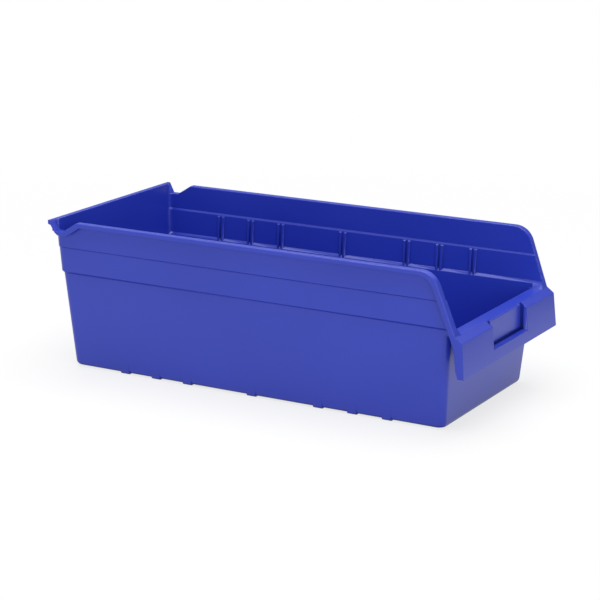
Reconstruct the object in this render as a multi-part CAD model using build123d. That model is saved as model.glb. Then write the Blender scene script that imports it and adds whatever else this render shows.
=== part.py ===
import os

from build123d import *

# Overall size of the bin, in millimetres
length = 454.0
width = 213.0
height = 152.4

# Thickness of the moulding
wall = 2.4
rear_wall = 2.4
skin = 2.3

# Tub, set in from the overall size at the underside of the floor
floor_under = 1.0
floor_top = 3.6
base_side_in = 19.6
base_front_in = 27.6
base_rear_in = 12.4
side_draft = 0.092
front_draft = 0.085
rear_draft = 0.058
front_radius = 6.5
rear_radius = 7.5

# Steps that widen the side walls on the way up
step_z = 97.6
step_out = 2.3
ledge_z = 98.7
ledge_rise = 2.5
band_draft = 0.05
band_step_drop = 28.1
band_step_out = 1.1
band_ledge_drop = 27.1
band_ledge_rise = 1.8
band_ledge_out = 1.3
top_draft = 0.012
rear_step = 0.8

# Rim around the top edge
rim_drop = 4.5
notch_drop = 10.0
notch_back = 18.0
notch_front = 34.0
rim_round = 1.2
rim_round_inside = 0.9
lip_edge = 4.0
lip_flat = 3.5
lip_foot = 8.6

# Sloping edge of the hopper
hopper_top = 31.4
hopper_foot = 9.8
hopper_radius = 20.0
hopper_rim = 5.9

# Rail across the front
rail_z = 94.5
rail_edge_z = 89.5
rail_edge_in = 2.8
rail_foot_z = 56.5
rail_top_in = 3.2
rail_foot_in = 1.6
cheek_depth = 8.9
facet_in = 2.5

# Pocket for a label in the rail
label_half = 37.0
label_depth = 6.3
label_foot_z = 66.6
label_ledge = 2.6
label_bevel = 1.5
card_slot = 2.0
card_side = 2.0
card_groove = 1.5
card_margin = 3.0

# Divider slots on the inside of both side walls
slot_count = 9
slot_skipped = (4, 6)
slot_start = 87.2
slot_pitch = 36.65
slot_rib = 3.6
slot_rib_slant = 1.7
slot_rib_proud = 1.9
slot_gap = 2.4

# Ridges under the floor, at the same pitch as the slots
ridge_start = 86.0
ridge_width = 9.6
ridge_rise = 11.0
ridge_proud = 0.4

# Sizes that follow from the ones above
back = length / 2
base_half = width / 2 - base_side_in
base_front = back - base_front_in
base_rear = back - base_rear_in
rail_half_top = width / 2 - rail_top_in
rail_half_foot = width / 2 - rail_foot_in
band_step_z = height - band_step_drop
band_ledge_z = height - band_ledge_drop

# How far the cutting shapes run past the part
past = 60.0


def ramp(z, start, run):
    """Grows from zero to run as z climbs past start."""
    return min(max(z - start, 0.0), run)


def outer_half(z):
    half = base_half + side_draft * (min(z, step_z) - floor_under)
    half += ramp(z, step_z, step_out) + band_draft * ramp(z, step_z, band_step_z - step_z)
    return half + ramp(z, band_step_z, band_step_out) + top_draft * max(z - band_step_z, 0)


def inner_half(z):
    half = base_half - wall + side_draft * (min(z, ledge_z) - floor_under)
    half += step_out * ramp(z, ledge_z, ledge_rise) / ledge_rise
    half += band_draft * ramp(z, ledge_z, band_ledge_z - ledge_z)
    half += band_ledge_out * ramp(z, band_ledge_z, band_ledge_rise) / band_ledge_rise
    return half + top_draft * max(z - band_ledge_z, 0)


def outer_rear(z):
    return base_rear + rear_draft * (z - floor_under) + rear_step * ramp(z, step_z, step_out) / step_out


def inner_rear(z):
    return base_rear - rear_wall + rear_draft * (z - floor_under)


def outer_front(z):
    return base_front + front_draft * (z - floor_under)


def tub_ring(half, front, rear, fore_radius, aft_radius, z):
    """Rounded outline of the tub at one height."""
    corners = [(-half, -front), (half, -front), (half, rear), (-half, rear)]
    face = make_face(Polyline(*corners, close=True))
    face = fillet([v for v in face.vertices() if v.Y < 0], fore_radius)
    face = fillet([v for v in face.vertices() if v.Y > rear - 0.01], aft_radius)
    return Pos(0, 0, z) * face.face()


def stack(levels):
    """Straight sided solid through a list of rising outlines."""
    rings = [tub_ring(*level) for level in levels]
    pieces = []
    for low, high in zip(rings, rings[1:]):
        pieces.append(Solid.make_loft([low.outer_wire(), high.outer_wire()], True))
    return pieces[0].fuse(*pieces[1:])


def outer_shape():
    """Solid outside of the tub, open ended at the front above the rail."""
    low = []
    for rise, inset in ((0, 2.0), (0.6, 1.1), (1.8, 0.35), (4.0, 0.0), (rail_z - floor_under, 0.0)):
        z = floor_under + rise
        ring = (outer_half(z) - inset, outer_front(z) - inset, outer_rear(z) - inset)
        low.append((*ring, front_radius, rear_radius, z))
    high = []
    for z in (step_z, step_z + step_out, band_step_z, band_step_z + band_step_out, height + 5):
        high.append((outer_half(z), back + 20, outer_rear(z), front_radius, rear_radius, z))
    middle = []
    for z in (rail_z - 2, step_z):
        middle.append((outer_half(z), outer_front(z) + 4, outer_rear(z), front_radius, rear_radius, z))
    return stack(low).fuse(stack(middle), stack(high))


def inner_shape():
    """Solid shape of the space inside, running out over the rail."""
    fore = front_radius - wall
    aft = rear_radius - wall
    low = []
    for rise, inset in ((0, 2.0), (0.8, 0.7), (2.4, 0.0), (rail_z - floor_top, 0.0)):
        z = floor_top + rise
        ring = (inner_half(z) - inset, outer_front(z) - wall - inset, inner_rear(z) - inset)
        low.append((*ring, fore, aft, z))
    high = []
    heights = [rail_z, ledge_z, ledge_z + ledge_rise, band_ledge_z, band_ledge_z + band_ledge_rise]
    for z in heights + [height + 6]:
        high.append((inner_half(z), back + 30, inner_rear(z), fore, aft, z))
    return stack(low).fuse(stack(high))


def slope_y(z):
    """Front edge of the hopper cut at a height."""
    top = back - hopper_top
    foot = back - hopper_foot
    return -(top + (height - z) * (foot - top) / (height - rail_z))


def round_corner(face, y, z, radius):
    """Rounds the corner of a side view face nearest to a point."""
    spot = min(face.vertices(), key=lambda v: abs(v.X - y) + abs(v.Y - z))
    return fillet(spot, radius)


def side_view():
    """Side outline of the whole bin, looking along X."""
    path = [
        (back, -past),
        (back, height),
        (back - lip_flat, height),
        (back - lip_foot, height - notch_drop),
        (back - notch_back, height - notch_drop),
        (back - notch_front, height),
        (slope_y(height), height),
        (slope_y(rail_z), rail_z),
        (rail_edge_in - back, rail_edge_z),
        (-back, rail_foot_z),
        (-back, -past),
    ]
    face = make_face(Polyline(*path, close=True))
    return round_corner(face, slope_y(height), height, hopper_radius)


def below_rim():
    """Side view area under the rim and behind the ends of the rail."""
    low = height - rim_drop
    notch = height - notch_drop - rim_drop
    gap_z = step_z - 0.3
    path = [
        (back + past, -2 * past),
        (back + past, height - lip_edge),
        (back, height - lip_edge),
        (back - 3.1, height - lip_edge - 1.0),
        (back - 7.7, height - 12.2),
        (back - 10.9, notch),
        (back - notch_back - 3.4, notch),
        (back - notch_front - 3.4, low),
        (slope_y(low) + hopper_rim, low),
        (slope_y(gap_z) + hopper_rim, gap_z),
        (cheek_depth + rail_edge_in - back - 0.6, rail_edge_z - 8),
        (cheek_depth - back, rail_foot_z + 8),
        (cheek_depth - back - 2.5, rail_foot_z),
        (-back - past, rail_foot_z),
        (-back - past, -2 * past),
    ]
    face = make_face(Polyline(*path, close=True))
    return round_corner(face, slope_y(low) + hopper_rim, low, hopper_radius - rim_drop)


def across(face, x_low, x_high):
    """Solid made by running a side view face between two X positions."""
    return Pos(x_low, 0, 0) * extrude(Plane.YZ * face, x_high - x_low)


def side_limit(inset):
    """Space that one side of the rim may fill, narrower toward the rail."""
    edge = width / 2 - inset
    foot = rail_half_foot - inset
    path = [
        (0, 0),
        (foot, 0),
        (foot, rail_foot_z),
        (rail_half_top - inset, rail_edge_z),
        (edge, height - rim_drop),
        (edge, height + past),
        (0, height + past),
    ]
    fore = extrude(Plane.XZ * make_face(Polyline(*path, close=True)), back + past)
    rear = Pos(edge / 2, back / 2, height / 2) * Box(edge, back, height * 2)
    return fore.fuse(rear)


def rim_side(outline):
    """Flange along one side wall, hollow underneath, with the rail end."""
    start = base_half - 4
    band = across(outline - below_rim(), start, width)
    core = across(offset(outline, -skin, kind=Kind.INTERSECTION), start, width)
    return (band & side_limit(0)) - (core & side_limit(skin))


def rear_lip(outline):
    """Lip along the top of the rear wall that hooks over a shelf edge."""
    path = [
        (back - 8, height - 11.5),
        (outer_rear(height - 11) + 0.1, height - 11),
        (back - 3.0, height - lip_edge - 1.2),
        (back, height - lip_edge),
        (back, height),
        (back - 8, height),
    ]
    face = make_face(Polyline(*path, close=True))
    middle = inner_half(height)
    half = width / 2 - skin
    return across(face, -middle, middle).fuse(across(face & outline, -half, half))


def front_rail(outline):
    """Skirt and sloping top of the rail across the front."""
    shell = outline - offset(outline, -skin, kind=Kind.INTERSECTION)
    window = Pos(-back, (rail_z + rail_foot_z) / 2) * Rectangle(2 * hopper_foot + 4, rail_z - rail_foot_z)
    skirt = across(shell & window, 0, rail_half_top - skin / 2)
    reach = hopper_foot + 1.5
    plate_y = outer_front(rail_z) - wall
    deep = back - reach - plate_y + 2
    plate = Pos(0, -plate_y - deep / 2, rail_z - skin / 2) * Box(2 * outer_half(rail_z), deep, skin)
    return skirt.fuse(skirt.mirror(Plane.YZ), plate)


def label_block(outline):
    """Solid backing in the rail that the label pocket is cut from."""
    deep = label_depth + card_groove + skin + 1.5
    low = label_foot_z - 1.5
    window = Pos(deep / 2 - back, (rail_z + low) / 2) * Rectangle(deep, rail_z - low)
    half = label_half + card_side + skin
    return across(outline & window, -half, half)


def pocket_outline(half, foot, y):
    """Upright rectangle, open to the top of the rail, at one depth."""
    tall = rail_z + past - foot
    return Pos(0, y, foot + tall / 2) * (Plane.XZ * Rectangle(2 * half, tall)).face()


def label_pocket():
    """Space for a label card, with a lip and a deeper groove on three sides."""
    plane = back - 1.5 - label_depth
    lip = plane + card_slot
    foot = label_foot_z + label_ledge
    steep = label_bevel / (back - lip)
    reach = back - lip + 4
    behind = pocket_outline(label_half, foot, -lip)
    ahead = pocket_outline(label_half + steep * reach, foot - steep * reach, -lip - reach)
    mouth = Solid.make_loft([behind.outer_wire(), ahead.outer_wire()], True)
    low = foot - card_side
    half = label_half + card_side
    tall = rail_z + past - low
    deep = card_slot + card_groove
    groove = Pos(0, deep / 2 - lip, low + tall / 2) * Box(2 * half, deep, tall)
    card_half = label_half - card_margin
    card_low = foot + card_margin - 1.0
    card = Pos(0, card_groove / 2 - plane, card_low + tall / 2) * Box(2 * card_half, card_groove, tall)
    return mouth.fuse(groove - card)


def corner_facets(outline):
    """Slanted faces from the lower ledges down to the top of the rail."""
    top = inner_half(ledge_z)
    path = [
        (top, ledge_z),
        (top - facet_in, rail_z),
        (top - facet_in, rail_z - 1),
        (top + wall / 2, rail_z - 1),
        (top + 2, ledge_z + 2),
    ]
    start = outer_front(rail_z) - wall + 0.8
    prism = extrude(Plane.XZ * make_face(Polyline(*path, close=True)), back - start)
    wedge = (Pos(0, -start, 0) * prism) & across(outline, 0, width)
    return wedge.fuse(wedge.mirror(Plane.YZ))


def places(start):
    """Positions along the bin of the divider slots or the floor ridges."""
    found = []
    for number in range(slot_count):
        if number + 1 not in slot_skipped:
            found.append(start - back + number * slot_pitch)
    return found


def slot_rib_pair():
    """Two facing ribs on the wall at plus X, with slanted tops and outer sides."""
    low = ledge_z - 0.6
    face = inner_half(ledge_z)
    wall_x = inner_half(band_ledge_z) + 0.8
    high = band_ledge_z - slot_rib_proud + 0.3
    profile = [
        (face, low),
        (wall_x - slot_rib_proud, high),
        (wall_x, high + slot_rib_proud),
        (wall_x, ledge_z + ledge_rise),
        (face + wall / 2, low),
    ]
    side = extrude(Plane.XZ * make_face(Polyline(*profile, close=True)), slot_rib, both=True)
    plan = [
        (face, 0),
        (face, slot_rib - slot_rib_slant),
        (wall_x, slot_rib),
        (wall_x, 0),
    ]
    upright = Pos(0, 0, low) * extrude(make_face(Polyline(*plan, close=True)), high + 9 - low)
    rib = Pos(0, slot_gap / 2, 0) * (side & upright)
    return [rib, rib.mirror(Plane.XZ)]


def slot_ribs():
    """Pairs of ribs that hold the edge of a divider."""
    ribs = []
    for y in places(slot_start):
        for rib in slot_rib_pair():
            shifted = Pos(0, y, 0) * rib
            ribs += [shifted, shifted.mirror(Plane.YZ)]
    return ribs


def floor_ridges():
    """Cross ridges the bin stands on, running a little way up the sides."""
    top = floor_under + ridge_rise
    path = [
        (-outer_half(top), top),
        (-base_half - ridge_proud, floor_under + 0.3),
        (ridge_proud * 2 - base_half, 0),
        (base_half - ridge_proud * 2, 0),
        (base_half + ridge_proud, floor_under + 0.3),
        (outer_half(top), top),
    ]
    bar = extrude(Plane.XZ * make_face(Polyline(*path, close=True)), ridge_width / 2, both=True)
    return [Pos(0, y, 0) * bar for y in places(ridge_start)]


def along_outline(edge, outline):
    """True for an edge that follows the side outline ahead of the rear lip."""
    start, end = edge @ 0, edge @ 1
    if abs(end.X - start.X) > 0.3 * edge.length or max(start.Y, end.Y) > back - lip_foot + 0.1:
        return False
    line = outline.face().outer_wire()
    return all(line.distance_to(Vector(p.Y, p.Z)) < 0.05 for p in (start, edge @ 0.5, end))


def soften_rims(body, outline):
    """Rounds the long edges along the top of both side rims."""
    outside = []
    for edge in body.edges():
        near, high = min(abs((edge @ 0).X), abs((edge @ 1).X)), min((edge @ 0).Z, (edge @ 1).Z)
        if near > rail_half_top and high > rail_z - 0.1 and along_outline(edge, outline):
            outside.append(edge)
    body = body.fillet(rim_round, outside)
    inside = []
    for edge in body.edges():
        near, far = sorted((abs((edge @ 0).X), abs((edge @ 1).X)))
        high = min((edge @ 0).Z, (edge @ 1).Z)
        if base_half < near and far < outer_half(height) and high > height - notch_drop - 0.1:
            if along_outline(edge, outline):
                inside.append(edge)
    return body.fillet(rim_round_inside, inside)


def bin_body():
    """The whole one piece moulding."""
    outline = side_view()
    tub = outer_shape() & across(outline, -width, width)
    rim = rim_side(outline)
    body = tub.fuse(rim, rim.mirror(Plane.YZ), rear_lip(outline), front_rail(outline), label_block(outline))
    body = body.fuse(*floor_ridges())
    body = body - inner_shape()
    body = body.fuse(corner_facets(outline), *slot_ribs())
    body = body - label_pocket()
    return soften_rims(body, outline)


def main():
    os.makedirs("parts", exist_ok=True)
    body = bin_body()
    body.label = "bin_body"
    export_step(body, "parts/bin_body.step")


if __name__ == "__main__":
    main()
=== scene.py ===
from math import radians

import bmesh
import bpy
from mathutils import Matrix, Vector


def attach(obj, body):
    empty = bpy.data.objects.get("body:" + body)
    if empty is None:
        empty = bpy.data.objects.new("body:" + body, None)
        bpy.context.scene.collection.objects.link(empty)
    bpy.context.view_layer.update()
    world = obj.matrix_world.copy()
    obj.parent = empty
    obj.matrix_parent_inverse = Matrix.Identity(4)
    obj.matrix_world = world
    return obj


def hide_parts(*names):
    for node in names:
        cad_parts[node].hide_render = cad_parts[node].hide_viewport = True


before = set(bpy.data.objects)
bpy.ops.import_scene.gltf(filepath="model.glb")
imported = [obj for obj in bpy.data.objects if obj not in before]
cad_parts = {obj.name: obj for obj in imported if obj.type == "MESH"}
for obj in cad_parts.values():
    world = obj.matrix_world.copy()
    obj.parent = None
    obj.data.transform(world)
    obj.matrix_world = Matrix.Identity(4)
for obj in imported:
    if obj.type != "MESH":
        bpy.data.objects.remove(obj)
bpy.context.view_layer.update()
print("stage 1: packed bin loaded")


def pickOnly(piece):
    bpy.ops.object.select_all(action="DESELECT")
    piece.select_set(True)
    bpy.context.view_layer.objects.active = piece


# Where the photo was taken from
camera = {
    "place": (-1.6566, -0.9542, 0.5911),
    "turn": 60.022,  # degrees from the length of the bin toward its width
    "down": 15.075,
    "roll": -0.041,
    "lens": 120.56,
    "sensor": 36.0,
    "near": 0.05,
    "far": 60,
}


def addCamera(size):
    bpy.ops.object.camera_add(location=size["place"])
    eye = bpy.context.object
    eye.name = "photoCamera"
    turned = Matrix.Rotation(radians(-size["turn"]), 3, "Z")
    tipped = Matrix.Rotation(radians(90 - size["down"]), 3, "X")
    rolled = Matrix.Rotation(radians(size["roll"]), 3, "Z")
    eye.rotation_euler = (turned @ tipped @ rolled).to_euler()
    eye.data.lens = size["lens"]
    eye.data.sensor_width = size["sensor"]
    eye.data.clip_start = size["near"]
    eye.data.clip_end = size["far"]
    bpy.context.scene.camera = eye


addCamera(camera)
print("stage 2: camera set")


# How the corners of the moulding are softened, in metres and degrees
bodyShape = {
    "merge": 0.00001,
    "sharp": 28,  # an edge that bends more than this is a corner
    "soft": 0.0005,
    "softSteps": 3,
    "railEdge": (-0.2065, -0.2035, 0.0945),  # inner edge of the rail, rounded more
    "railLevel": 0.0002,  # how far from that height an edge may lie
    "railSoft": 0.002,
    "railSteps": 4,
    "ridgeTop": 0.0128,  # the low ridges under the floor stay crisp below this
    "shortest": 0.0004,
    "lipStart": (0.219, 0.09),  # behind and above this even a slight bend is a corner
    "lipSharp": 15,
    "stray": 0.0002,  # a softened point further than this off the bin is set back on it
    "shade": 50,
    "flatter": 100,  # how much the large faces steer the shading
}

plastic = {
    "colour": (0.022, 0.0455, 0.455, 1),
    "deep": (0.0195, 0.0415, 0.432, 1),
    "cloudScale": 9,
    "cloudDetail": 3,
    "cloudEdges": (0.35, 0.65),
    "ior": 1.46,
    "shine": 0.5,
    # Painted shade: the colour is darkened where a short occlusion test finds grooves and
    # inner corners
    "paintedShadeReach": 0.003,
    "paintedShadeRays": 8,
    "paintedCreaseShade": 0.55,  # painted shade: share of the colour left in the tightest creases
    "paintedShadeSpan": (0.45, 0.97),
    "paintedUndersideShade": 0.75,  # and painted shade on faces that look down at the shelf
    "paintedUndersideShine": 0.06,  # with a painted dull reflection there: their gloss is turned down
    "paintedUndersideTurn": (-0.6, -0.3),
    "roughLow": 0.26,
    "roughHigh": 0.34,
    "grainScale": 900,
    "grainDetail": 2,
    "grainBump": 0.04,
    "grainDeep": 0.0002,
    "flowScale": 6,
    "flowDetail": 1,
    "flowBump": 0.05,
    "flowDeep": 0.002,
}


def addNoise(nodes, links, where, scale, detail):
    noise = nodes.new("ShaderNodeTexNoise")
    noise.inputs["Scale"].default_value = scale
    noise.inputs["Detail"].default_value = detail
    links.new(where.outputs["Object"], noise.inputs["Vector"])
    return noise


def addRange(nodes, span, low, high):
    between = nodes.new("ShaderNodeMapRange")
    between.inputs["From Min"].default_value = span[0]
    between.inputs["From Max"].default_value = span[1]
    between.inputs["To Min"].default_value = low
    between.inputs["To Max"].default_value = high
    return between


def addBump(nodes, links, noise, strength, deep):
    bump = nodes.new("ShaderNodeBump")
    bump.inputs["Strength"].default_value = strength
    bump.inputs["Distance"].default_value = deep
    links.new(noise.outputs["Fac"], bump.inputs["Height"])
    return bump


def mouldedPlastic(look):
    made = bpy.data.materials.new("blueMouldedPlastic")
    made.use_nodes = True
    nodes = made.node_tree.nodes
    links = made.node_tree.links
    shader = nodes["Principled BSDF"]
    shader.inputs["IOR"].default_value = look["ior"]
    where = nodes.new("ShaderNodeTexCoord")

    # Faint unevenness in the pigment and the gloss
    cloud = addNoise(nodes, links, where, look["cloudScale"], look["cloudDetail"])
    tint = nodes.new("ShaderNodeValToRGB")
    shades = (look["deep"], look["colour"])
    for stop, edge, shade in zip(tint.color_ramp.elements, look["cloudEdges"], shades):
        stop.position = edge
        stop.color = shade
    gloss = addRange(nodes, (0, 1), look["roughLow"], look["roughHigh"])
    links.new(cloud.outputs["Fac"], tint.inputs["Fac"])
    links.new(cloud.outputs["Fac"], gloss.inputs["Value"])
    links.new(gloss.outputs["Result"], shader.inputs["Roughness"])

    # Painted shade: grooves, inner corners and undersides are darkened in the colour
    crease = nodes.new("ShaderNodeAmbientOcclusion")
    crease.samples = look["paintedShadeRays"]
    crease.inputs["Distance"].default_value = look["paintedShadeReach"]
    creasePaintedShade = addRange(nodes, look["paintedShadeSpan"], look["paintedCreaseShade"], 1)
    # Painted shade and a painted dull reflection on faces that look down, chosen by their
    # normal
    facing = nodes.new("ShaderNodeNewGeometry")
    upward = nodes.new("ShaderNodeSeparateXYZ")
    undersidePaintedShade = addRange(nodes, look["paintedUndersideTurn"], look["paintedUndersideShade"], 1)
    shine = addRange(nodes, look["paintedUndersideTurn"], look["paintedUndersideShine"], look["shine"])
    allPaintedShade = nodes.new("ShaderNodeMath")
    allPaintedShade.operation = "MULTIPLY"
    shaded = nodes.new("ShaderNodeVectorMath")
    shaded.operation = "SCALE"
    links.new(crease.outputs["AO"], creasePaintedShade.inputs["Value"])
    links.new(facing.outputs["Normal"], upward.inputs[0])
    links.new(upward.outputs["Z"], undersidePaintedShade.inputs["Value"])
    links.new(upward.outputs["Z"], shine.inputs["Value"])
    links.new(creasePaintedShade.outputs["Result"], allPaintedShade.inputs[0])
    links.new(undersidePaintedShade.outputs["Result"], allPaintedShade.inputs[1])
    links.new(tint.outputs["Color"], shaded.inputs[0])
    links.new(allPaintedShade.outputs[0], shaded.inputs["Scale"])
    links.new(shaded.outputs["Vector"], shader.inputs["Base Color"])
    links.new(shine.outputs["Result"], shader.inputs["Specular IOR Level"])

    # Fine tooth left by the mould, over the slow ripple of a cooled wall
    grain = addNoise(nodes, links, where, look["grainScale"], look["grainDetail"])
    flow = addNoise(nodes, links, where, look["flowScale"], look["flowDetail"])
    fineBump = addBump(nodes, links, grain, look["grainBump"], look["grainDeep"])
    slowBump = addBump(nodes, links, flow, look["flowBump"], look["flowDeep"])
    links.new(slowBump.outputs["Normal"], fineBump.inputs["Normal"])
    links.new(fineBump.outputs["Normal"], shader.inputs["Normal"])
    return made


def chooseRailEdge(mesh, size):
    front, rear, level = size["railEdge"]
    shaped = bmesh.from_edit_mesh(mesh)
    for edge in shaped.edges:
        ends = [end.co for end in edge.verts]
        bent = edge.is_convex and edge.calc_face_angle(0) > radians(size["sharp"])
        along = all(front < end.y < rear for end in ends)
        atLevel = all(abs(end.z - level) < size["railLevel"] for end in ends)
        edge.select = bent and along and atLevel
    bmesh.update_edit_mesh(mesh)


def chooseCorners(mesh, size):
    shaped = bmesh.from_edit_mesh(mesh)
    for edge in shaped.edges:
        bend = edge.calc_face_angle(0)
        ends = [end.co for end in edge.verts]
        rear, high = size["lipStart"]
        onLip = min(end.y for end in ends) > rear and min(end.z for end in ends) > high
        corner = bend > radians(size["lipSharp"] if onLip else size["sharp"])
        edge.smooth = edge.is_convex or not corner  # inner corners stay crisp
        longEnough = edge.calc_length() > size["shortest"]
        raised = max(end.z for end in ends) > size["ridgeTop"]
        edge.select = corner and edge.is_convex and longEnough and raised
    bmesh.update_edit_mesh(mesh)


def setBackStrays(body, node, reach):
    moved = 0
    for point in body.data.vertices:
        found, place = node.closest_point_on_mesh(point.co)[:2]
        if found and (place - point.co).length > reach:
            point.co = place
            moved += 1
    print("points set back on the bin", moved)


def softenedBody(size, look):
    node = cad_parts["bin_body"]
    body = bpy.data.objects.new("mouldedBin", node.data.copy())
    bpy.context.scene.collection.objects.link(body)
    pickOnly(body)
    mesh = body.data
    bpy.ops.object.mode_set(mode="EDIT")
    bpy.ops.mesh.select_mode(type="EDGE")
    bpy.ops.mesh.select_all(action="SELECT")
    bpy.ops.mesh.remove_doubles(threshold=size["merge"])
    for choose, soft, steps in (
        (chooseRailEdge, size["railSoft"], size["railSteps"]),
        (chooseCorners, size["soft"], size["softSteps"]),
    ):
        bpy.ops.mesh.select_all(action="DESELECT")
        choose(mesh, size)
        bpy.ops.mesh.bevel(
            offset=soft,
            offset_type="WIDTH",
            segments=steps,
            clamp_overlap=False,
            loop_slide=False,
        )
    bpy.ops.object.mode_set(mode="OBJECT")
    setBackStrays(body, node, size["stray"])
    bpy.ops.object.shade_smooth_by_angle(angle=radians(size["shade"]), keep_sharp_edges=True)
    bpy.ops.object.modifier_add(type="WEIGHTED_NORMAL")
    steer = body.modifiers[0]
    steer.weight = size["flatter"]
    steer.keep_sharp = True
    bpy.ops.object.modifier_apply(modifier=steer.name)
    mesh.materials.clear()
    mesh.materials.append(look)
    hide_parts("bin_body")
    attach(body, "root")
    return body


bluePlastic = mouldedPlastic(plastic)
mouldedBin = softenedBody(bodyShape, bluePlastic)
print("stage 3: body softened and coloured", len(mouldedBin.data.polygons))


studio = {
    "floorSize": 24,
    "floorZ": -0.0004,  # just under the ridges
    "floorWhite": 0.84,
    "shade": 0.3,  # share of the real shadow that shows beside the bin
    "fade": 1.1,  # metres from the bin at which the floor is plain white
    "sky": 0.27,
    "aim": (0, 0, 0.08),
    "lamps": [
        # name, place, size, watts
        ("lampTop", (0.0, 0.0, 2.2), 2.2, 60),
        ("lampSide", (-2.6, 0.5, 0.7), 1.6, 8),
        ("lampFront", (-1.7, -2.0, 0.5), 1.6, 22),
    ],
}

# Dark cards that only reflections see, as used to draw the edges of glossy things
cards = {
    "grey": 0.3,
    "tall": 0.4,
    "sheets": [
        # name, place, turn in degrees, width
        ("cardFar", (0.45, 0.1, 0.2), 90, 2.4),
        ("cardFront", (0.7, -0.4, 0.2), 0, 1.5),
    ],
}


def shownRays(nodes, links):
    rays = nodes.new("ShaderNodeLightPath")
    shown = rays.outputs["Is Camera Ray"]
    for kind in ("Is Glossy Ray", "Is Transmission Ray"):
        either = nodes.new("ShaderNodeMath")
        either.operation = "MAXIMUM"
        links.new(shown, either.inputs[0])
        links.new(rays.outputs[kind], either.inputs[1])
        shown = either.outputs[0]
    return shown


def addSky(size):
    world = bpy.data.worlds.new("studioSky")
    bpy.context.scene.world = world
    world.use_nodes = True
    nodes = world.node_tree.nodes
    links = world.node_tree.links
    lit = nodes["Background"]
    lit.inputs["Color"].default_value = (1, 1, 1, 1)
    lit.inputs["Strength"].default_value = size["sky"]
    white = nodes.new("ShaderNodeBackground")
    white.inputs["Color"].default_value = (1, 1, 1, 1)
    white.inputs["Strength"].default_value = 1
    mix = nodes.new("ShaderNodeMixShader")
    links.new(shownRays(nodes, links), mix.inputs["Fac"])
    links.new(lit.outputs["Background"], mix.inputs[1])
    links.new(white.outputs["Background"], mix.inputs[2])
    links.new(mix.outputs["Shader"], nodes["World Output"].inputs["Surface"])


def addFloor(size):
    bpy.ops.mesh.primitive_plane_add(size=size["floorSize"], location=(0, 0, size["floorZ"]))
    floor = bpy.context.object
    floor.name = "studioFloor"
    paint = bpy.data.materials.new("paleFloor")
    paint.use_nodes = True
    nodes = paint.node_tree.nodes
    links = paint.node_tree.links
    matt = nodes["Principled BSDF"]
    white = size["floorWhite"]
    matt.inputs["Base Color"].default_value = (white, white, white, 1)
    matt.inputs["Roughness"].default_value = 1
    matt.inputs["Specular IOR Level"].default_value = 0
    plain = nodes.new("ShaderNodeEmission")
    plain.inputs["Strength"].default_value = 1

    where = nodes.new("ShaderNodeTexCoord")  # the shadow fades out away from the bin
    away = nodes.new("ShaderNodeVectorMath")
    away.operation = "LENGTH"
    whiter = nodes.new("ShaderNodeMapRange")
    whiter.inputs["From Max"].default_value = size["fade"]
    whiter.inputs["To Min"].default_value = 1 - size["shade"]
    whiter.inputs["To Max"].default_value = 1
    links.new(where.outputs["Object"], away.inputs[0])
    links.new(away.outputs["Value"], whiter.inputs["Value"])

    part = nodes.new("ShaderNodeMath")
    part.operation = "MULTIPLY"
    mix = nodes.new("ShaderNodeMixShader")
    links.new(shownRays(nodes, links), part.inputs[0])
    links.new(whiter.outputs["Result"], part.inputs[1])
    links.new(part.outputs[0], mix.inputs["Fac"])
    links.new(matt.outputs["BSDF"], mix.inputs[1])
    links.new(plain.outputs["Emission"], mix.inputs[2])
    links.new(mix.outputs["Shader"], nodes["Material Output"].inputs["Surface"])
    floor.data.materials.append(paint)


def addCard(name, place, turn, wide, size):
    upright = (radians(90), 0, radians(turn))
    bpy.ops.mesh.primitive_plane_add(size=1, location=place, rotation=upright)
    sheet = bpy.context.object
    sheet.name = name
    sheet.scale = (wide, size["tall"], 1)
    paint = bpy.data.materials.new(name + "Grey")
    paint.use_nodes = True
    grey = size["grey"]
    matt = paint.node_tree.nodes["Principled BSDF"]
    matt.inputs["Base Color"].default_value = (grey, grey, grey, 1)
    sheet.data.materials.append(paint)
    sheet.visible_camera = False
    sheet.visible_diffuse = False
    sheet.visible_shadow = False


def addLamp(name, place, size, watts, target):
    bpy.ops.object.light_add(type="AREA", location=place)
    lamp = bpy.context.object
    lamp.name = name
    lamp.data.shape = "SQUARE"
    lamp.data.size = size
    lamp.data.energy = watts
    aim = Vector(target) - Vector(place)
    lamp.rotation_euler = aim.to_track_quat("-Z", "Y").to_euler()


addSky(studio)
addFloor(studio)
for name, place, turn, wide in cards["sheets"]:
    addCard(name, place, turn, wide, cards)
for name, place, size, watts in studio["lamps"]:
    addLamp(name, place, size, watts, studio["aim"])
bpy.context.scene.view_settings.view_transform = "Standard"
print("stage 4: studio lit")
